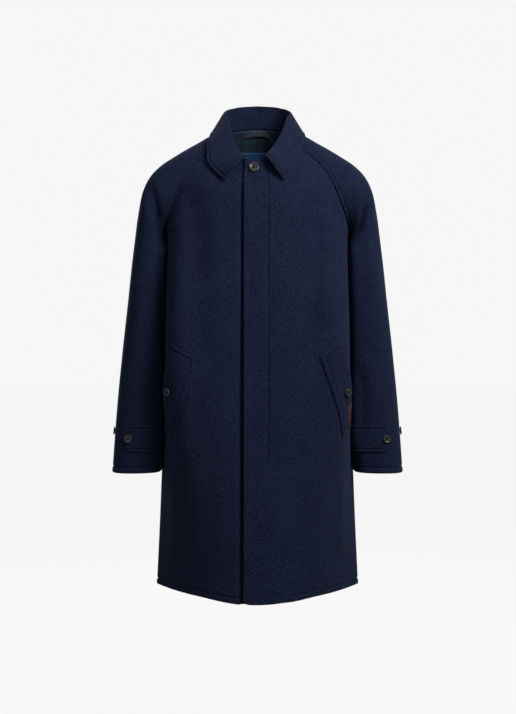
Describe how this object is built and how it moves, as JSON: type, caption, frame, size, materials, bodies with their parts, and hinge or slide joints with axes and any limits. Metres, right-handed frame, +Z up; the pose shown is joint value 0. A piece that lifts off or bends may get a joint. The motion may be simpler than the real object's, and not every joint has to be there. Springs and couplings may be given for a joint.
{
  "type": "tweed coat",
  "caption": "Knee-length navy tweed overcoat with raglan sleeves, turn-down collar, fly front, slanted welt pockets and buttoned cuff straps, filled out as if worn and hollow",
  "frame": {"origin": "middle of the neck base, level with the places where the collar meets the shoulders, where the wearer's shoulders hold the coat", "axes": "+X to the wearer's left, +Y to the back, +Z up"},
  "size_m": [0.648, 0.3534, 1.0994],
  "materials": {
    "tweed": "navy wool tweed with a short nap",
    "lining": "smooth woven lining in a dark traditional tartan",
    "horn": "polished dark horn look",
    "loop": "woven tape",
    "neck_label": "blank woven label",
    "tab_label": "blank woven tab"
  },
  "bodies": {
    "root": {"front_left": "tweed", "front_right": "tweed", "back": "tweed", "sleeve_front_left": "tweed", "sleeve_front_right": "tweed", "sleeve_back_left": "tweed", "sleeve_back_right": "tweed", "collar": "tweed", "pocket_welt_left": "tweed", "pocket_welt_right": "tweed", "cuff_strap_left": "tweed", "cuff_strap_right": "tweed", "front_button": "horn", "pocket_button_left": "horn", "pocket_button_right": "horn", "cuff_button_left": "horn", "cuff_button_right": "horn", "cuff_spare_button_left": "horn", "cuff_spare_button_right": "horn", "back_lining": "lining", "hanging_loop": "loop", "neck_label": "neck_label", "tab_label": "tab_label"}
  },
  "joints": []
}
